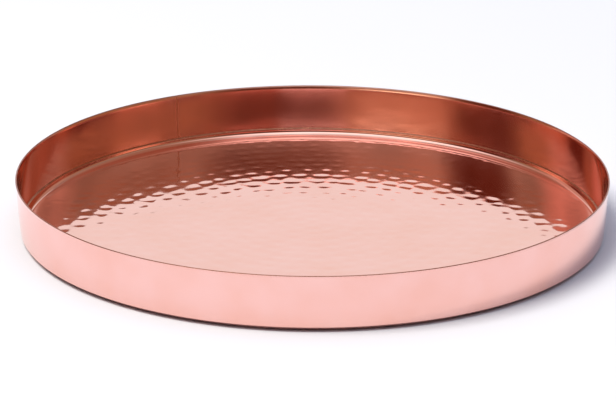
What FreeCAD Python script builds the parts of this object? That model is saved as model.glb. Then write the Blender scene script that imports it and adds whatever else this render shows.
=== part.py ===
import FreeCAD, Part
import math
import os

os.makedirs("parts", exist_ok=True)

# A round hammered tray of copper sheet: a pan with a turned-up edge, set inside a rolled hoop.
# +Z is up, the origin is the centre of the underside, on the table. Sizes are in millimetres.

# Overall sizes
rimRadius = 200.0      # outermost edge of the lip
trayHeight = 38.0      # table to the top of the lip
sheet = 1.0            # copper sheet, the same for the hoop and the pan
wallLean = 3.5         # degrees the wall opens outwards

# Hoop
hoopLift = 3.2         # lower edge of the hoop above the table
lipRadius = 6.0        # outer radius of the curve that eases the lip outwards
lipTurn = 22.0         # degrees the lip turns out from the wall
seamAngle = 120.0      # where the hoop's ends meet, degrees from +X towards +Y
seamGap = 1.2          # gap between the hoop's ends
seamCrown = 0.25       # how far the brazed seam stands proud of each face

# Pan
bendInside = 4.0       # inside radius between the floor and the turned-up edge
upstandTop = 5.6       # top of the turned-up edge above the table

# Solder
lapLeg = 0.6           # height of the solder fillet on top of the turned-up edge
lapHollow = 0.05       # how far that fillet's face is hollowed
footFill = 0.55        # share of the crevice under the hoop that solder fills, by height
footHollow = 0.03      # how far the underside of the foot solder is hollowed
solderRuns = 48        # runs that a ring of solder is laid in
crownClear = 0.4       # seam crown starts this far above the lap solder

# Sizes that follow
lean = math.radians(wallLean)
lipLean = math.radians(wallLean + lipTurn)
bendOutside = bendInside + sheet
rimMidRadius = rimRadius - sheet / 2
rimMidHeight = trayHeight - sheet / 2
lipMidRadius = lipRadius + sheet / 2
lipCentreR = rimMidRadius + lipMidRadius * math.cos(lipLean)
lipCentreZ = rimMidHeight - lipMidRadius * math.sin(lipLean)
bendTop = bendOutside * (1 - math.sin(lean))
crownBottom = upstandTop + lapLeg + crownClear
crownTop = lipCentreZ + lipRadius * math.sin(lean)
fullTurn = 360.0
straightDown = math.pi / 2


def point(radius, height):
    return FreeCAD.Vector(radius, 0, height)


def lipPoint(radius, angle):
    return point(lipCentreR - radius * math.cos(angle), lipCentreZ + radius * math.sin(angle))


def outerFace(height):
    start = lipPoint(lipRadius, lean)
    return start.x - (start.z - height) * math.tan(lean)


def innerFace(height):
    return outerFace(height) - sheet / math.cos(lean)


bendCentreR = innerFace(bendTop) - bendOutside * math.cos(lean)


def bendPoint(radius, angle):
    return point(bendCentreR + radius * math.cos(angle), bendOutside - radius * math.sin(angle))


def line(a, b):
    return Part.makeLine(a, b)


def arc(a, middle, b):
    return Part.Arc(a, middle, b).toShape()


def hollowArc(a, b, depth, side):
    along = b.sub(a).normalize()
    across = FreeCAD.Vector(along.z, 0, -along.x)
    middle = a.add(b).multiply(0.5).add(across.multiply(depth * side))
    return arc(a, middle, b)


def spin(edges, startAngle=0.0, sweep=fullTurn):
    face = Part.Face(Part.Wire(Part.__sortEdges__(edges)))
    axisPoint = FreeCAD.Vector(0, 0, 0)
    axisUp = FreeCAD.Vector(0, 0, 1)
    face.rotate(axisPoint, axisUp, startAngle)
    return face.revolve(axisPoint, axisUp, sweep)


def spinInRuns(edges, runs):
    # A thin ring is made in equal runs, which are fused into one, as solder is laid.
    step = fullTurn / runs
    lengths = [spin(edges, index * step, step) for index in range(runs)]
    return lengths[0].multiFuse(lengths[1:])


def hoopSection():
    lipMiddle = (lean + lipLean) / 2
    foot = point(outerFace(hoopLift), hoopLift)
    heel = point(innerFace(hoopLift), hoopLift)
    outerStart = lipPoint(lipRadius, lean)
    outerEnd = lipPoint(lipRadius, lipLean)
    innerStart = lipPoint(lipRadius + sheet, lean)
    innerEnd = lipPoint(lipRadius + sheet, lipLean)
    edgeTravel = FreeCAD.Vector(math.sin(lipLean), 0, math.cos(lipLean))
    crest = lipPoint(lipMidRadius, lipLean).add(edgeTravel.multiply(sheet / 2))
    return [
        line(heel, foot),
        line(foot, outerStart),
        arc(outerStart, lipPoint(lipRadius, lipMiddle), outerEnd),
        arc(outerEnd, crest, innerEnd),
        arc(innerEnd, lipPoint(lipRadius + sheet, lipMiddle), innerStart),
        line(innerStart, heel),
    ]


def crownSection():
    corners = [
        point(innerFace(crownBottom) - seamCrown, crownBottom),
        point(outerFace(crownBottom) + seamCrown, crownBottom),
        point(outerFace(crownTop) + seamCrown, crownTop),
        point(innerFace(crownTop) - seamCrown, crownTop),
    ]
    return [line(a, b) for a, b in zip(corners, corners[1:] + corners[:1])]


def panSection():
    bendMiddle = (lean + straightDown) / 2
    wallThickness = sheet / math.cos(lean)
    bottomEnd = bendPoint(bendOutside, straightDown)
    floorEnd = bendPoint(bendInside, straightDown)
    outerBendEnd = bendPoint(bendOutside, lean)
    innerBendEnd = bendPoint(bendInside, lean)
    outerTop = point(innerFace(upstandTop), upstandTop)
    innerTop = point(innerFace(upstandTop) - wallThickness, upstandTop)
    return [
        line(point(0, 0), bottomEnd),
        arc(bottomEnd, bendPoint(bendOutside, bendMiddle), outerBendEnd),
        line(outerBendEnd, outerTop),
        line(outerTop, innerTop),
        line(innerTop, innerBendEnd),
        arc(innerBendEnd, bendPoint(bendInside, bendMiddle), floorEnd),
        line(floorEnd, point(0, sheet)),
        line(point(0, sheet), point(0, 0)),
    ]


def lapSolderSection():
    wallThickness = sheet / math.cos(lean)
    lapTop = upstandTop + lapLeg
    inner = point(innerFace(upstandTop) - wallThickness, upstandTop)
    corner = point(innerFace(upstandTop), upstandTop)
    upper = point(innerFace(lapTop), lapTop)
    return [line(inner, corner), line(corner, upper), hollowArc(upper, inner, lapHollow, -1)]


def footSolderSection():
    solderTop = hoopLift + footFill * (bendTop - hoopLift)
    lowAngle = math.asin((bendOutside - hoopLift) / bendOutside)
    topAngle = math.asin((bendOutside - solderTop) / bendOutside)
    heel = point(innerFace(hoopLift), hoopLift)
    upper = point(innerFace(solderTop), solderTop)
    bendUpper = bendPoint(bendOutside, topAngle)
    bendLower = bendPoint(bendOutside, lowAngle)
    return [
        line(heel, upper),
        line(upper, bendUpper),
        arc(bendUpper, bendPoint(bendOutside, (lowAngle + topAngle) / 2), bendLower),
        hollowArc(bendLower, heel, footHollow, -1),
    ]


def save(name, shape):
    shape.exportStep("parts/" + name + ".step")
    print(name, "valid", shape.isValid(), "volume", round(shape.Volume, 1))


# The strip's ends stop half a gap each side of the seam.
gapTurn = math.degrees(seamGap / rimRadius)
seamStart = seamAngle - gapTurn / 2
hoop = spin(hoopSection(), seamStart + gapTurn, fullTurn - gapTurn)
save("wall_hoop", hoop)

# Braze fills the gap and stands slightly proud between the lap and the lip.
seamFill = spin(hoopSection(), seamStart, gapTurn)
seamCrownPiece = spin(crownSection(), seamStart, gapTurn)
save("hoop_seam", seamFill.fuse(seamCrownPiece).removeSplitter())

# The pan's turned-up edge laps the inside of the hoop, and its flat base stands on the table.
save("floor_pan", spin(panSection()))

# Solder closes both ends of the lap.
save("lap_solder", spinInRuns(lapSolderSection(), solderRuns))
save("foot_solder", spinInRuns(footSolderSection(), solderRuns))
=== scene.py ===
import math
import random

import bmesh
import bpy
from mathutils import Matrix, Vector, noise as solidNoise
from mathutils.kdtree import KDTree


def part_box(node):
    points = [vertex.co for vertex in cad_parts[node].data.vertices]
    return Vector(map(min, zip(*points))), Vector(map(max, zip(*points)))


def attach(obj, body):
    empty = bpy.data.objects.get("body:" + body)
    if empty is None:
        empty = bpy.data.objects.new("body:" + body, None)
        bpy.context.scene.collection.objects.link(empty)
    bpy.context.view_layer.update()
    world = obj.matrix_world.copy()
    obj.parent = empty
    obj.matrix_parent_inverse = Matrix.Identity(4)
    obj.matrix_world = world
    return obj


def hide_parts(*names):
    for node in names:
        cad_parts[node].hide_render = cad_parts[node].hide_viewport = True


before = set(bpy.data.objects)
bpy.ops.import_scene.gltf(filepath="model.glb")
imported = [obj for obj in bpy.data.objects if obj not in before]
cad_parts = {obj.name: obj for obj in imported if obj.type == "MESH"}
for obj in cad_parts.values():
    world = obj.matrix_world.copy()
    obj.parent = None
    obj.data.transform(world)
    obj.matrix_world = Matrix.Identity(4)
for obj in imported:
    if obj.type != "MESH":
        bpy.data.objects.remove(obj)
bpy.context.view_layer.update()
mm = 0.001


def inUnits(sizes):
    # millimetres to metres, for every size in a piece's dictionary whose name ends in Mm
    return {name: value * mm if name.endswith("Mm") else value for name, value in sizes.items()}


# places read from the frame
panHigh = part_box("floor_pan")[1]
hoopLow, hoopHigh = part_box("wall_hoop")
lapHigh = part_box("lap_solder")[1]
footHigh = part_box("foot_solder")[1]
rimRadius = max(hoopHigh.x, hoopHigh.y)
trayHeight = hoopHigh.z
hoopFoot = hoopLow.z
upstandTop = panHigh.z
lapTop = lapHigh.z
footTop = footHigh.z
print("frame loaded: rim radius %.1f mm, height %.1f mm" % (rimRadius / mm, trayHeight / mm))

# the copper sheet, the same for the pan and the hoop
copperSheet = inUnits({
    "thicknessMm": 1.0,
    "leanDegrees": 3.5,       # how far the wall opens outwards
    "lipRadiusMm": 6.0,
    "lipTurnDegrees": 22.0,
    "bendInsideMm": 4.0,      # inside radius between the pan's floor and its turned-up edge
})
sheet = copperSheet["thicknessMm"]
lean = math.radians(copperSheet["leanDegrees"])
bendOutside = copperSheet["bendInsideMm"] + sheet


def linearColour(hexText, alpha=1.0):
    # sRGB hex to the linear values that the shader works in
    values = [int(hexText[i:i + 2], 16) / 255 for i in (1, 3, 5)]
    linear = [v / 12.92 if v <= 0.04045 else ((v + 0.055) / 1.055) ** 2.4 for v in values]
    return (*linear, alpha)


def addNode(tree, kind, settings=None, values=None, links=None):
    # one node with its settings, its fixed input values, and what feeds its inputs
    node = tree.nodes.new(kind)
    for name, value in (settings or {}).items():
        setattr(node, name, value)
    for name, value in (values or {}).items():
        node.inputs[name].default_value = value
    for name, source in (links or {}).items():
        tree.links.new(source, node.inputs[name])
    return node


def softStep(tree, value, start, end):
    # 0 at the start, 1 at the end, eased between; the end may be the lower of the two
    return addNode(tree, "ShaderNodeMapRange", {"interpolation_type": "SMOOTHSTEP"},
                   {"From Min": start, "From Max": end}, {"Value": value}).outputs["Result"]


def smoothstep(low, high, value):
    t = min(max((value - low) / (high - low), 0.0), 1.0)
    return t * t * (3 - 2 * t)


def makeWobble(seed, waves):
    # an uneven line round the tray, between -1 and 1, as a hand leaves it
    picker = random.Random(seed)
    parts = [(count, picker.uniform(0, 2 * math.pi), picker.uniform(0.4, 1.0)) for count in waves]
    total = sum(share for count, phase, share in parts)
    return lambda angle: sum(share * math.sin(count * angle + phase) for count, phase, share in parts) / total


def meshPiece(name, bm, material):
    mesh = bpy.data.meshes.new(name)
    bm.to_mesh(mesh)
    bm.free()
    mesh.materials.append(material)
    piece = bpy.data.objects.new(name, mesh)
    bpy.context.scene.collection.objects.link(piece)
    print("%s: %d faces" % (name, len(mesh.polygons)))
    return piece


def dress(piece, node):
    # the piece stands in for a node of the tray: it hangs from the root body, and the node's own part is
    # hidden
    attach(piece, "root")
    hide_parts(node)


# Camera

cameraView = {
    "elevation": 19.6,        # degrees above the table
    "distance": 5.094,        # camera to tray, in rim diameters
    "lens": 175.3,            # millimetres
    "sensor": 36.0,           # millimetres across
    "farthest": 50.0,         # metres that the camera sees
    "aimAcross": -0.0074,     # how far the aim is off the tray's axis, in rim diameters
    "aimAbove": 0.0240,       # how far the aim is above the hoop's foot, in rim diameters
    "roll": 0.25,             # degrees
}


def placeCamera(view):
    diameter = 2 * rimRadius
    foot = Vector((0, 0, hoopFoot))
    lift = math.radians(view["elevation"])
    away = Vector((0, -math.cos(lift), math.sin(lift))) * view["distance"] * diameter
    aim = foot + Vector((view["aimAcross"], 0, view["aimAbove"])) * diameter
    data = bpy.data.cameras.new("trayCamera")
    data.sensor_width = view["sensor"]
    data.lens = view["lens"]
    data.clip_end = view["farthest"]
    camera = bpy.data.objects.new("trayCamera", data)
    bpy.context.scene.collection.objects.link(camera)
    camera.location = foot + away
    turn = (aim - camera.location).to_track_quat("-Z", "Y").to_matrix().to_4x4()
    turn.translation = camera.location
    camera.matrix_world = turn
    camera.rotation_euler.rotate_axis("Z", math.radians(view["roll"]))
    bpy.context.scene.camera = camera


placeCamera(cameraView)
print("camera placed")


# Studio: a tray on white paper in a warm brown room, with a large soft window above the camera

studio = {
    "roomColour": "#a07050",
    "shelfReach": (-0.85, -0.7),      # where shelves start and are full: -1 is behind, 1 is at the camera
    "shelfScale": (2.2, 2.2, 34.0),   # how often their shade changes, across and upwards
    "shelfStrength": (0.55, 1.4),     # their darkest and brightest, as shares of the room behind them
    "panelRise": (60.0, 72.0),        # degrees above the table where ceiling panels start and are full
    "panelScale": (7.0, 7.0, 7.0),
    "panelStrength": (0.42, 1.3),
    "fillColour": "#dce4fb",
    "fillRise": (14.0, 66.0),         # the fill comes from above, and fades towards the table
    "fillStrength": 1.7,
    "keyPower": 372.0,                # watts
    "keyColour": "#fff9ec",
    "keyPlace": (-1.9, -1.0, 4.7),
    "keySize": (2.6, 2.6),
    "tableColour": "#bfbfc2",
    "tableReach": 30.0,               # metres from the tray to the table's edge
    "tableDrop": 0.0002,              # metres that the table lies under the tray's base
}

# What stands in the room, from the back to the front. Towards is the middle of a thing, in degrees from the
# camera towards its left, width is the degrees it fills, and soft the degrees that its sides fade over.
# Above and below give the degrees over the table where it fades in or out upwards.
roomThings = {
    "pale upper wall": {"colour": "#a09080", "above": (15, 25)},
    "lit wall, left": {"colour": "#d0a090", "towards": 135, "width": 40, "soft": 10},
    "lit wall, right": {"colour": "#b09080", "towards": -140, "width": 30, "soft": 15},
    "shade beside the camera": {"colour": "#603020", "towards": -15, "width": 35, "soft": 20,
                                "below": (15, 40)},
    "bench": {"colour": "#c09070", "towards": 40, "width": 40, "soft": 15, "below": (15, 25)},
    "sunlit bench top": {"colour": "#ffe0c0", "strength": 1.5, "towards": 35, "width": 30, "soft": 10,
                         "below": (8, 12)},
    "doorway": {"colour": "#603020", "towards": 75, "width": 25, "soft": 10},
    "white paper": {"colour": "#fafafa", "towards": 180, "width": 50, "soft": 6},
}

overheadThings = {
    "ceiling": {"colour": "#806050", "strength": 1.6, "above": (33, 40)},
    "window": {"colour": "#ffffff", "strength": 1.5, "towards": 25, "width": 130, "soft": 45,
               "above": (33, 40)},
    "wall over the paper": {"colour": "#d0d0d0", "strength": 1.5, "towards": 180, "width": 30, "soft": 12,
                            "above": (33, 40)},
    "ceiling over the tray": {"colour": "#d0d0d0", "strength": 1.5, "above": (65, 85)},
}


def fadeUpward(tree, height, rise):
    # 0 below the first angle and 1 above the second; the other way round if the second is the lower
    return softStep(tree, height, *[math.sin(math.radians(degrees)) for degrees in rise])


def multiply(tree, first, second):
    return addNode(tree, "ShaderNodeMath", {"operation": "MULTIPLY"}, None, {0: first, 1: second}).outputs[0]


def thingShare(tree, flatDirection, height, thing):
    # how much of the view one thing fills, from 0 to 1, in each direction
    shares = []
    if "width" in thing:
        heading = math.radians(thing["towards"])
        across = addNode(tree, "ShaderNodeVectorMath", {"operation": "DOT_PRODUCT"},
                         {1: (-math.sin(heading), -math.cos(heading), 0)}, {0: flatDirection})
        half = thing["width"] / 2
        edges = [math.cos(math.radians(half + side)) for side in (thing["soft"], -thing["soft"])]
        shares.append(softStep(tree, across.outputs["Value"], *edges))
    if "above" in thing:
        shares.append(fadeUpward(tree, height, thing["above"]))
    if "below" in thing:
        shares.append(fadeUpward(tree, height, thing["below"][::-1]))
    while len(shares) > 1:
        shares.append(multiply(tree, shares.pop(), shares.pop()))
    return shares[0]


def furnish(tree, flatDirection, height, light, things):
    # lays each thing over what stands behind it
    for thing in things.values():
        strength = thing.get("strength", 1.0)
        colour = [strength * value for value in linearColour(thing["colour"])[:3]]
        mixed = addNode(tree, "ShaderNodeMix", {"data_type": "RGBA"}, {7: (*colour, 1.0)},
                        {"Factor": thingShare(tree, flatDirection, height, thing), 6: light})
        light = mixed.outputs[2]
    return light


def addPatches(tree, direction, share, light, stretch, strength):
    # lighter and darker patches over the share of the room that is asked for
    stretched = addNode(tree, "ShaderNodeMapping", None, {"Scale": stretch}, {"Vector": direction})
    noise = addNode(tree, "ShaderNodeTexNoise", None, {"Scale": 1.0, "Detail": 2.0},
                    {"Vector": stretched.outputs[0]})
    low, high = strength
    patch = addNode(tree, "ShaderNodeMapRange", None,
                    {"From Min": 0.3, "From Max": 0.7, "To Min": low, "To Max": high},
                    {"Value": noise.outputs["Fac"]})
    amount = addNode(tree, "ShaderNodeMix", {"data_type": "FLOAT"}, {2: 1.0}, {0: share, 3: patch.outputs[0]})
    return addNode(tree, "ShaderNodeVectorMath", {"operation": "SCALE"}, None,
                   {0: light, "Scale": amount.outputs[0]}).outputs[0]


def plainColour(tree, colour):
    node = addNode(tree, "ShaderNodeRGB")
    node.outputs[0].default_value = colour
    return node.outputs[0]


def buildFill(tree, height, settings):
    # light for matt surfaces only: none from the level of the table, all of it from above
    faded = addNode(tree, "ShaderNodeMix", {"data_type": "RGBA"},
                    {6: (0, 0, 0, 1), 7: linearColour(settings["fillColour"])},
                    {"Factor": fadeUpward(tree, height, settings["fillRise"])})
    return addNode(tree, "ShaderNodeBackground", None, {"Strength": settings["fillStrength"]},
                   {"Color": faded.outputs[2]})


def buildStudio(settings):
    world = bpy.data.worlds.new("studio")
    bpy.context.scene.world = world
    world.use_nodes = True
    tree = world.node_tree
    tree.nodes.clear()
    direction = addNode(tree, "ShaderNodeTexCoord").outputs["Generated"]
    parts = addNode(tree, "ShaderNodeSeparateXYZ", links={"Vector": direction})
    height = parts.outputs["Z"]
    near = addNode(tree, "ShaderNodeMath", {"operation": "MULTIPLY"}, {1: -1.0}, {0: parts.outputs["Y"]})
    level = addNode(tree, "ShaderNodeVectorMath", {"operation": "MULTIPLY"}, {1: (1, 1, 0)}, {0: direction})
    flat = addNode(tree, "ShaderNodeVectorMath", {"operation": "NORMALIZE"}, None,
                   {0: level.outputs[0]}).outputs[0]
    walls = plainColour(tree, linearColour(settings["roomColour"]))
    room = furnish(tree, flat, height, walls, roomThings)
    # shelves and their contents stand on the camera's side only, and panels hang from the ceiling
    nearSide = softStep(tree, near.outputs[0], *settings["shelfReach"])
    shelved = addPatches(tree, direction, nearSide, room, settings["shelfScale"], settings["shelfStrength"])
    whole = furnish(tree, flat, height, shelved, overheadThings)
    ceiling = fadeUpward(tree, height, settings["panelRise"])
    panelled = addPatches(tree, direction, ceiling, whole, settings["panelScale"], settings["panelStrength"])
    mirrored = addNode(tree, "ShaderNodeBackground", None, None, {"Color": panelled})
    fill = buildFill(tree, height, settings)
    path = addNode(tree, "ShaderNodeLightPath")
    both = addNode(tree, "ShaderNodeMixShader", None, None,
                   {0: path.outputs["Is Diffuse Ray"], 1: mirrored.outputs[0], 2: fill.outputs[0]})
    addNode(tree, "ShaderNodeOutputWorld", None, None, {"Surface": both.outputs[0]})


def addKeyLight(settings):
    # a large soft light high on the left, a little towards the camera, which throws the shadow to the right
    data = bpy.data.lights.new("keyLight", "AREA")
    data.shape = "RECTANGLE"
    data.size, data.size_y = settings["keySize"]
    data.energy = settings["keyPower"]
    data.color = linearColour(settings["keyColour"])[:3]
    lamp = bpy.data.objects.new("keyLight", data)
    bpy.context.scene.collection.objects.link(lamp)
    lamp.location = settings["keyPlace"]
    lamp.rotation_euler = (-lamp.location).to_track_quat("-Z", "Y").to_euler()
    lamp.visible_glossy = False
    lamp.visible_camera = False


def makeTableWhite(settings):
    # matt white paper
    material = bpy.data.materials.new("matt white table")
    material.use_nodes = True
    shader = material.node_tree.nodes["Principled BSDF"]
    shader.inputs["Base Color"].default_value = linearColour(settings["tableColour"])
    shader.inputs["Roughness"].default_value = 0.9
    shader.inputs["Specular IOR Level"].default_value = 0.1
    return material


def buildTable(settings):
    bm = bmesh.new()
    bmesh.ops.create_grid(bm, x_segments=1, y_segments=1, size=settings["tableReach"])
    for vert in bm.verts:
        vert.co.z = -settings["tableDrop"]
    meshPiece("table", bm, makeTableWhite(settings))


buildStudio(studio)
addKeyLight(studio)
buildTable(studio)
bpy.context.scene.view_settings.view_transform = "Standard"
print("studio built")


# Finishes

hammeredCopper = inUnits({
    "colour": "#f8c5bb",
    "warmColour": "#f3b8a6",
    "roughness": (0.045, 0.085),
    "warmShare": 0.35,        # most of the warmer colour in any cloud
    "cloudMm": 46.0,          # size of the wiped clouds in the polish
})

rolledCopper = inUnits({
    "colour": "#f8c5bb",
    "warmColour": "#f2b3a0",
    "warmShare": 0.4,
    "roughness": (0.09, 0.13),
    "anisotropy": 0.95,
    "rimShadeColour": "#b88272",  # painted shade: a darker colour along the rim draws its dark line; the cut edge's dullness is the roughness below
    "edgeRoughness": 0.42,
    "edgeMm": 0.5,            # depth of the dull edge, from the top
    "cloudMm": 38.0,
    "brushMm": 0.5,           # pitch of the brush lines up the wall
    "brushRunTurns": 9.0,     # how many lengths of brush line go round the tray
    "brushDepthMm": 0.007,
})

brazeMetal = inUnits({
    "colour": "#e8b09a",
    "darkColour": "#cc8e78",
    "roughness": (0.24, 0.4),
    "cloudMm": 2.2,
})

lapSolderMetal = inUnits({
    "colour": "#c48c74",
    "darkColour": "#a8705a",
    "roughness": (0.24, 0.36),
    "cloudMm": 6.0,
})

# painted shade: the foot solder is the same metal as the lap solder, coloured far darker for the shade in the
# crevice under the hoop's foot
shadedFootSolderMetal = inUnits({
    "colour": "#6e4030",
    "darkColour": "#3a1d14",
    "roughness": (0.36, 0.55),
    "cloudMm": 6.0,
})


def newMetal(name):
    material = bpy.data.materials.new(name)
    material.use_nodes = True
    tree = material.node_tree
    shader = tree.nodes["Principled BSDF"]
    shader.inputs["Metallic"].default_value = 1.0
    return material, tree, shader


def clouds(tree, sizeMeters, detail=3.0):
    # soft patches of a real size, in the piece's own coordinates
    place = addNode(tree, "ShaderNodeTexCoord").outputs["Object"]
    noise = addNode(tree, "ShaderNodeTexNoise", None, {"Scale": 1 / sizeMeters, "Detail": detail},
                    {"Vector": place})
    return noise.outputs["Fac"]


def spread(tree, factor, low, high, fromLow=0.35, fromHigh=0.65):
    # stretches a noise's middle values over a range
    return addNode(tree, "ShaderNodeMapRange", None,
                   {"From Min": fromLow, "From Max": fromHigh, "To Min": low, "To Max": high},
                   {"Value": factor}).outputs["Result"]


def blendColours(tree, factor, first, second):
    mixed = addNode(tree, "ShaderNodeMix", {"data_type": "RGBA"},
                    {6: linearColour(first), 7: linearColour(second)}, {"Factor": factor})
    return mixed.outputs[2]


def makeHammeredCopper(settings):
    # high polish: sharp reflections, so that every blow shows as a bright and a dark crescent
    material, tree, shader = newMetal("hammered polished copper")
    cloud = clouds(tree, settings["cloudMm"])
    warmth = spread(tree, cloud, 0.0, settings["warmShare"])
    colour = blendColours(tree, warmth, settings["colour"], settings["warmColour"])
    tree.links.new(colour, shader.inputs["Base Color"])
    tree.links.new(spread(tree, cloud, *settings["roughness"]), shader.inputs["Roughness"])
    return material


def makeRolledCopper(settings):
    # brushed round and polished: reflections stay crisp sideways and are drawn out up and down the wall
    material, tree, shader = newMetal("rolled brushed copper")
    shader.inputs["Anisotropic"].default_value = settings["anisotropy"]
    shader.inputs["Anisotropic Rotation"].default_value = 0.25
    tangent = addNode(tree, "ShaderNodeTangent", {"direction_type": "RADIAL", "axis": "Z"})
    tree.links.new(tangent.outputs[0], shader.inputs["Tangent"])
    cloud = clouds(tree, settings["cloudMm"])
    warmth = spread(tree, cloud, 0.0, settings["warmShare"])
    colour = blendColours(tree, warmth, settings["colour"], settings["warmColour"])
    place = addNode(tree, "ShaderNodeTexCoord").outputs["Object"]
    parts = addNode(tree, "ShaderNodeSeparateXYZ", links={"Vector": place})
    turn = addNode(tree, "ShaderNodeMath", {"operation": "ARCTAN2"}, None,
                   {0: parts.outputs["Y"], 1: parts.outputs["X"]})
    # the cut edge is duller, and its darker colour is painted shade for the dark line round the rim
    edgeStart = trayHeight - settings["edgeMm"]
    edgeFull = trayHeight - 0.5 * settings["edgeMm"]
    edge = softStep(tree, parts.outputs["Z"], edgeStart, edgeFull)
    rimShadeColour = addNode(tree, "ShaderNodeMix", {"data_type": "RGBA"},
                         {7: linearColour(settings["rimShadeColour"])}, {"Factor": edge, 6: colour})
    tree.links.new(rimShadeColour.outputs[2], shader.inputs["Base Color"])
    polish = spread(tree, cloud, *settings["roughness"])
    rough = addNode(tree, "ShaderNodeMix", {"data_type": "FLOAT"}, {3: settings["edgeRoughness"]},
                    {0: edge, 2: polish})
    tree.links.new(rough.outputs[0], shader.inputs["Roughness"])
    # the brush lines: noise that is long round the tray and fine up it
    run = addNode(tree, "ShaderNodeMath", {"operation": "MULTIPLY"}, {1: settings["brushRunTurns"]},
                  {0: turn.outputs[0]})
    rise = addNode(tree, "ShaderNodeMath", {"operation": "MULTIPLY"}, {1: 1 / settings["brushMm"]},
                   {0: parts.outputs["Z"]})
    strip = addNode(tree, "ShaderNodeCombineXYZ", None, None, {"X": run.outputs[0], "Y": rise.outputs[0]})
    lines = addNode(tree, "ShaderNodeTexNoise", None, {"Scale": 1.0, "Detail": 2.0},
                    {"Vector": strip.outputs[0]})
    bump = addNode(tree, "ShaderNodeBump", None, {"Strength": 1.0, "Distance": settings["brushDepthMm"]},
                   {"Height": lines.outputs["Fac"]})
    tree.links.new(bump.outputs["Normal"], shader.inputs["Normal"])
    return material


def makeJointMetal(name, settings):
    # filler metal: duller and darker than the sheet, mottled where flux has burnt; the foot solder's far
    # darker colours are painted shade for the crevice under the hoop
    material, tree, shader = newMetal(name)
    cloud = clouds(tree, settings["cloudMm"], 4.0)
    colour = blendColours(tree, spread(tree, cloud, 0.0, 1.0), settings["colour"], settings["darkColour"])
    tree.links.new(colour, shader.inputs["Base Color"])
    tree.links.new(spread(tree, cloud, *settings["roughness"]), shader.inputs["Roughness"])
    return material


hammeredFinish = makeHammeredCopper(hammeredCopper)
rolledFinish = makeRolledCopper(rolledCopper)
brazeFinish = makeJointMetal("filed braze", brazeMetal)
lapSolderFinish = makeJointMetal("wiped lap solder", lapSolderMetal)
shadedFootSolderFinish = makeJointMetal("dull foot solder in painted shade", shadedFootSolderMetal)
print("finishes made")


# Hammered pan

pan = inUnits({
    "meshRings": 160,         # rings of vertices across the floor
    "bendSteps": 10,
    "outsideSteps": 4,
    "topEaseMm": 0.04,
    "ringPitchMm": 11.2,      # between rings of blows
    "blowPitchMm": 13.4,      # between blows along a ring
    "dentDepthMm": 0.17,
    "dentAcrossMm": 5.4,      # half the mark's width across its ring
    "dentAlongMm": 7.4,       # half its length along the ring
    "ringWanderMm": 0.7,
    "blowWander": 0.12,       # share of the pitch
    "sizeWander": 0.14,       # share of the mark's size
    "plainEdgeMm": 19.0,      # width beside the bend that the hammer doesn't reach
    "nearestBlows": 4,        # how many blows can reach one place
    "rippleMm": 0.04,         # faint waviness left by planishing
    "ripplePitchMm": 5.0,
    "rippleStartMm": 6.0,     # the waviness fades from this far inside the bend
    "rippleEndMm": 0.5,       # and is gone this far inside it
    "undersideShares": (0.9, 0.5, 0.1),   # loops across the flat base, as shares of its radius
    "seed": 4,
})


def placeBlows(settings, edgeRadius):
    # the blows, ring by ring: the place, the ring's outward direction there, and the mark's size
    picker = random.Random(settings["seed"])
    blows = [(Vector((0, 0, 0)), Vector((1, 0, 0)), 1.0)]
    ring = 1
    while ring * settings["ringPitchMm"] < edgeRadius - settings["plainEdgeMm"]:
        middle = ring * settings["ringPitchMm"]
        count = max(6, round(2 * math.pi * middle / settings["blowPitchMm"]))
        start = picker.uniform(0, 2 * math.pi)
        for index in range(count):
            wander = picker.gauss(0, settings["blowWander"])
            angle = start + 2 * math.pi * (index + wander) / count
            radius = middle + picker.gauss(0, settings["ringWanderMm"])
            outward = Vector((math.cos(angle), math.sin(angle), 0))
            blows.append((outward * radius, outward, picker.gauss(1, settings["sizeWander"])))
        ring += 1
    return blows


def hammerFloor(verts, settings, edgeRadius):
    # each blow leaves a shallow round-bottomed dent; where two overlap, the deeper one is kept
    blows = placeBlows(settings, edgeRadius)
    tree = KDTree(len(blows))
    for index, blow in enumerate(blows):
        tree.insert(blow[0], index)
    tree.balance()
    for vert in verts:
        flat = Vector((vert.co.x, vert.co.y, 0))
        deepest = 0.0
        for place, index, distance in tree.find_n(flat, settings["nearestBlows"]):
            middle, outward, size = blows[index]
            off = flat - middle
            across = off.dot(outward) / (settings["dentAcrossMm"] * size)
            along = off.dot(Vector((-outward.y, outward.x, 0))) / (settings["dentAlongMm"] * size)
            reach = min(math.hypot(across, along), 1)
            deepest = max(deepest, settings["dentDepthMm"] * size * (1 + math.cos(math.pi * reach)) / 2)
        ripple = solidNoise.noise(flat / settings["ripplePitchMm"])
        fadeStart = edgeRadius - settings["rippleStartMm"]
        fade = 1 - smoothstep(fadeStart, edgeRadius - settings["rippleEndMm"], flat.length)
        vert.co.z += settings["rippleMm"] * ripple * fade - deepest


def hexToDisc(vert):
    # moves a vertex of a hexagonal grid so that the hexagon's rings become circles
    length = vert.co.length
    if length < 1e-9:
        return
    sixth = math.pi / 3
    turn = (math.atan2(vert.co.y, vert.co.x) - math.pi / 2) % (2 * math.pi)
    side = int(turn / sixth) % 6
    within = turn - side * sixth - sixth / 2
    ring = length * math.cos(within) / math.cos(sixth / 2)
    share = 0.5 + math.tan(within) / (2 * math.tan(sixth / 2))
    angle = (side + share) * sixth + math.pi / 2
    vert.co.x = ring * math.cos(angle)
    vert.co.y = ring * math.sin(angle)


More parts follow.
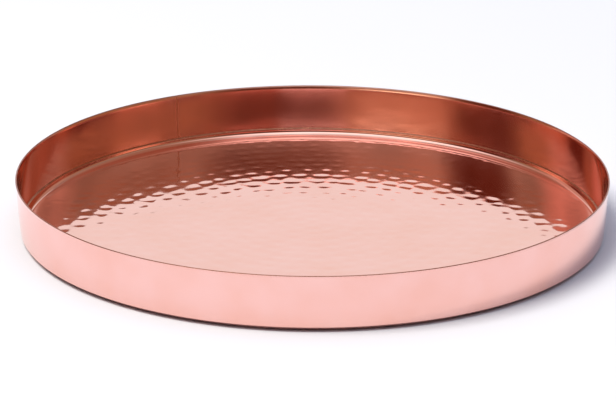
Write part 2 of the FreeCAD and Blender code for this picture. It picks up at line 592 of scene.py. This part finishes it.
def pullLoop(bm, edges, radius, height):
    # extrudes a round loop of edges and moves the new one to a radius and height
    grown = bmesh.ops.extrude_edge_only(bm, edges=edges)["geom"]
    verts = [part for part in grown if isinstance(part, bmesh.types.BMVert)]
    for vert in verts:
        level = Vector((vert.co.x, vert.co.y, 0)).normalized() * radius
        vert.co = Vector((level.x, level.y, height))
    return [part for part in grown if isinstance(part, bmesh.types.BMEdge)
            and part.verts[0] in verts and part.verts[1] in verts]


def bendPath(centreRadius, radius, steps):
    # points round the bend, from the floor up to the turned-up edge
    angles = [math.pi / 2 + (lean - math.pi / 2) * step / steps for step in range(steps + 1)]
    return [(centreRadius + radius * math.cos(a), bendOutside - radius * math.sin(a)) for a in angles]


def wallInside(height):
    # radius of the hoop's inner face, which the pan's turned-up edge lies against
    return max(panHigh.x, panHigh.y) - (upstandTop - height) * math.tan(lean)


def bendCentre():
    # radius of the circle that the bend is struck from, where the flat floor ends
    bendTop = bendOutside * (1 - math.sin(lean))
    return wallInside(bendTop) - bendOutside * math.cos(lean)


def makeFloorPan(settings):
    centreRadius = bendCentre()
    bm = bmesh.new()
    bmesh.ops.create_circle(bm, cap_ends=True, cap_tris=True, segments=6, radius=centreRadius)
    bmesh.ops.subdivide_edges(bm, edges=bm.edges[:], cuts=settings["meshRings"] - 1, use_grid_fill=True)
    for vert in bm.verts:
        hexToDisc(vert)
        vert.co.z = sheet
    loop = [edge for edge in bm.edges if edge.is_boundary]
    hammerFloor(bm.verts, settings, centreRadius)
    for radius, height in bendPath(centreRadius, copperSheet["bendInsideMm"], settings["bendSteps"])[1:]:
        loop = pullLoop(bm, loop, radius, height)
    ease = settings["topEaseMm"]
    outerTop = wallInside(upstandTop)
    innerTop = outerTop - sheet / math.cos(lean)
    loop = pullLoop(bm, loop, innerTop, upstandTop - ease)
    loop = pullLoop(bm, loop, innerTop + ease, upstandTop)
    loop = pullLoop(bm, loop, outerTop - ease, upstandTop)
    loop = pullLoop(bm, loop, outerTop, upstandTop - ease)
    for radius, height in reversed(bendPath(centreRadius, bendOutside, settings["outsideSteps"])):
        loop = pullLoop(bm, loop, radius, height)
    for share in settings["undersideShares"]:
        loop = pullLoop(bm, loop, centreRadius * share, 0)
    bmesh.ops.contextual_create(bm, geom=loop)
    bmesh.ops.recalc_face_normals(bm, faces=bm.faces[:])
    for face in bm.faces:
        face.smooth = True
    return meshPiece("hammeredPan", bm, hammeredFinish)


dress(makeFloorPan(pan), "floor_pan")


# Hoop and its brazed seam

hoop = inUnits({
    "bowMm": 0.28,            # how far the strip bows outwards, most of it low down
    "seamGapMm": 1.2,
    "seamDegrees": 120.0,
    "aroundSteps": 720,
    "wallSteps": 14,
    "lipSteps": 6,
    "crestSteps": 6,
    "sharpDegrees": 40.0,     # edges that turn more than this stay sharp, here and on the solder
    "wobbleMm": 0.1,          # how far the wall wanders in and out between its two edges
    "wobbleWaves": (5, 8, 13, 19, 26),
    "seed": 7,
})

seam = inUnits({
    "acrossSteps": 6,
    "crownMm": 0.05,          # how far the braze stands proud of the sheet
    "crownClearMm": 0.4,      # the crown starts this far above the lap solder
    "crownEaseMm": 1.5,
    "lumpMm": 0.015,          # unevenness that the file leaves
    "lumpPitchMm": 2.6,
    "lumpWaves": (1.0, 1.7, 2.9),
    "seed": 11,
})


def lipAt(radius, angle):
    # a point on the lip's curve, by its distance from the curve's centre
    lipLean = lean + math.radians(copperSheet["lipTurnDegrees"])
    middle = copperSheet["lipRadiusMm"] + sheet / 2
    centreR = rimRadius - sheet / 2 + middle * math.cos(lipLean)
    centreZ = trayHeight - sheet / 2 - middle * math.sin(lipLean)
    return centreR - radius * math.cos(angle), centreZ + radius * math.sin(angle)


def hoopProfile(settings):
    # the strip's section, round from the foot up the outside, over the crest and down the inside
    lipLean = lean + math.radians(copperSheet["lipTurnDegrees"])
    lip = copperSheet["lipRadiusMm"]
    steps = settings["lipSteps"]
    angles = [lean + (lipLean - lean) * step / steps for step in range(steps + 1)]
    outer = [lipAt(lip, angle) for angle in angles]
    inner = [lipAt(lip + sheet, angle) for angle in angles]
    middle = lipAt(lip + sheet / 2, lipLean)
    crest = []
    for step in range(1, settings["crestSteps"]):
        angle = -lipLean + math.pi * step / settings["crestSteps"]
        crest.append((middle[0] + sheet / 2 * math.cos(angle), middle[1] + sheet / 2 * math.sin(angle)))
    fullBow = 27 / 4          # share * (1 - share) ** 2 is highest at 4 / 27
    wallOuter, wallInner = [], []
    for wall, start in ((wallOuter, outer[0]), (wallInner, inner[0])):
        for step in range(settings["wallSteps"]):
            height = hoopFoot + (start[1] - hoopFoot) * step / settings["wallSteps"]
            share = max(height - upstandTop, 0) / (start[1] - upstandTop)
            bow = settings["bowMm"] * fullBow * share * (1 - share) ** 2
            wall.append((start[0] - (start[1] - height) * math.tan(lean) + bow, height))
    return wallOuter + outer + crest + inner[::-1] + wallInner[::-1]


def spinProfile(points, startDegrees, sweepDegrees, steps, closed):
    # a closed outline swept round the tray's axis, with flat ends where it isn't a full turn
    bm = bmesh.new()
    start = math.radians(startDegrees)
    verts = [bm.verts.new((r * math.cos(start), r * math.sin(start), z)) for r, z in points]
    edges = [bm.edges.new((a, b)) for a, b in zip(verts, verts[1:] + verts[:1])]
    spun = bmesh.ops.spin(bm, geom=verts + edges, cent=(0, 0, 0), axis=(0, 0, 1),
                          angle=math.radians(sweepDegrees), steps=steps, use_merge=closed)
    if not closed:
        bmesh.ops.contextual_create(bm, geom=edges)
        last = [part for part in spun["geom_last"] if isinstance(part, bmesh.types.BMEdge)]
        bmesh.ops.contextual_create(bm, geom=last)
    bmesh.ops.recalc_face_normals(bm, faces=bm.faces[:])
    for face in bm.faces:
        face.smooth = len(face.verts) == 4
    for edge in bm.edges:
        if edge.is_manifold and edge.calc_face_angle() > math.radians(hoop["sharpDegrees"]):
            edge.smooth = False
    return bm


def moveOut(vert, distance):
    # moves a vertex away from the tray's axis
    level = Vector((vert.co.x, vert.co.y, 0)).normalized() * distance
    vert.co += level


def wobbleWall(bm, settings):
    wobble = makeWobble(settings["seed"], settings["wobbleWaves"])
    for vert in bm.verts:
        rise = (vert.co.z - hoopFoot) / (trayHeight - hoopFoot)
        belly = math.sin(math.pi * min(max(rise, 0.0), 1.0)) ** 2
        moveOut(vert, settings["wobbleMm"] * belly * wobble(math.atan2(vert.co.y, vert.co.x)))


def makeWallHoop(settings):
    gapTurn = math.degrees(settings["seamGapMm"] / rimRadius)
    bm = spinProfile(hoopProfile(settings), settings["seamDegrees"] + gapTurn / 2, 360 - gapTurn,
                     settings["aroundSteps"], False)
    wobbleWall(bm, settings)
    return meshPiece("rolledHoop", bm, rolledFinish)


def makeSeam(settings):
    # braze in the gap, with a low uneven crown on both faces between the lap and the lip
    gapTurn = math.degrees(hoop["seamGapMm"] / rimRadius)
    startDegrees = hoop["seamDegrees"] - gapTurn / 2
    start = math.radians(startDegrees)
    bm = spinProfile(hoopProfile(hoop), startDegrees, gapTurn, settings["acrossSteps"], False)
    wobbleWall(bm, hoop)
    lump = makeWobble(settings["seed"], settings["lumpWaves"])
    bottom = lapTop + settings["crownClearMm"]
    top = lipAt(copperSheet["lipRadiusMm"], lean)[1]
    for vert in bm.verts:
        radius = math.hypot(vert.co.x, vert.co.y)
        side = 1 if radius > wallInside(vert.co.z) + sheet / 2 else -1
        across = (math.atan2(vert.co.y, vert.co.x) - start) / math.radians(gapTurn)
        crown = 4 * across * (1 - across)
        ease = smoothstep(bottom, bottom + settings["crownEaseMm"], vert.co.z)
        ease *= 1 - smoothstep(top - settings["crownEaseMm"], top, vert.co.z)
        uneven = settings["lumpMm"] * lump(2 * math.pi * vert.co.z / settings["lumpPitchMm"] + side)
        moveOut(vert, side * ease * crown * (settings["crownMm"] - settings["lumpMm"] + uneven))
    return meshPiece("brazedSeam", bm, brazeFinish)


dress(makeWallHoop(hoop), "wall_hoop")
dress(makeSeam(seam), "hoop_seam")


# Solder

solder = inUnits({
    "aroundSteps": 720,
    "faceSteps": 5,
    "lapHollowMm": 0.05,
    "footHollowMm": 0.03,
    "sinkMm": 0.02,           # how far a ring's thickness may wander inwards from its full size
    "lapWaves": (31, 47, 66, 90),
    "footWaves": (23, 38, 55, 71),
    "seed": 19,
})


def hollowPath(start, end, depth, steps):
    # points from start to end along a face hollowed to its right
    span = (end[0] - start[0], end[1] - start[1])
    along = Vector(span).normalized()
    across = Vector((along.y, -along.x))
    path = []
    for step in range(steps + 1):
        share = step / steps
        sag = across * depth * 4 * share * (1 - share)
        path.append((start[0] + span[0] * share + sag.x, start[1] + span[1] * share + sag.y))
    return path


def makeLapSolder(settings):
    corner = (wallInside(upstandTop), upstandTop)
    inner = (corner[0] - sheet / math.cos(lean), upstandTop)
    upper = (wallInside(lapTop), lapTop)
    path = hollowPath(inner, upper, settings["lapHollowMm"], settings["faceSteps"])
    bm = spinProfile([corner] + path, 0, 360, settings["aroundSteps"], True)
    wobble = makeWobble(settings["seed"], settings["lapWaves"])
    for vert in bm.verts:
        rise = (vert.co.z - upstandTop) / (lapTop - upstandTop)
        vert.co.z -= settings["sinkMm"] * rise * (1 + wobble(math.atan2(vert.co.y, vert.co.x)))
    return meshPiece("lapSolder", bm, lapSolderFinish)


def makeFootSolder(settings):
    centreRadius = bendCentre()
    heel = (wallInside(hoopFoot), hoopFoot)
    upper = (wallInside(footTop), footTop)
    lowAngle = math.asin((bendOutside - hoopFoot) / bendOutside)
    topAngle = math.asin((bendOutside - footTop) / bendOutside)
    bend = []
    for step in range(settings["faceSteps"] + 1):
        angle = topAngle + (lowAngle - topAngle) * step / settings["faceSteps"]
        radius = centreRadius + bendOutside * math.cos(angle)
        bend.append((radius, bendOutside - bendOutside * math.sin(angle)))
    under = hollowPath(bend[-1], heel, -settings["footHollowMm"], settings["faceSteps"])
    bm = spinProfile([upper] + bend + under[1:], 0, 360, settings["aroundSteps"], True)
    wobble = makeWobble(settings["seed"] + 1, settings["footWaves"])
    for vert in bm.verts:
        fall = (footTop - vert.co.z) / (footTop - hoopFoot)
        vert.co.z += settings["sinkMm"] * fall * (1 + wobble(math.atan2(vert.co.y, vert.co.x)))
    return meshPiece("footSolder", bm, shadedFootSolderFinish)


dress(makeLapSolder(solder), "lap_solder")
dress(makeFootSolder(solder), "foot_solder")
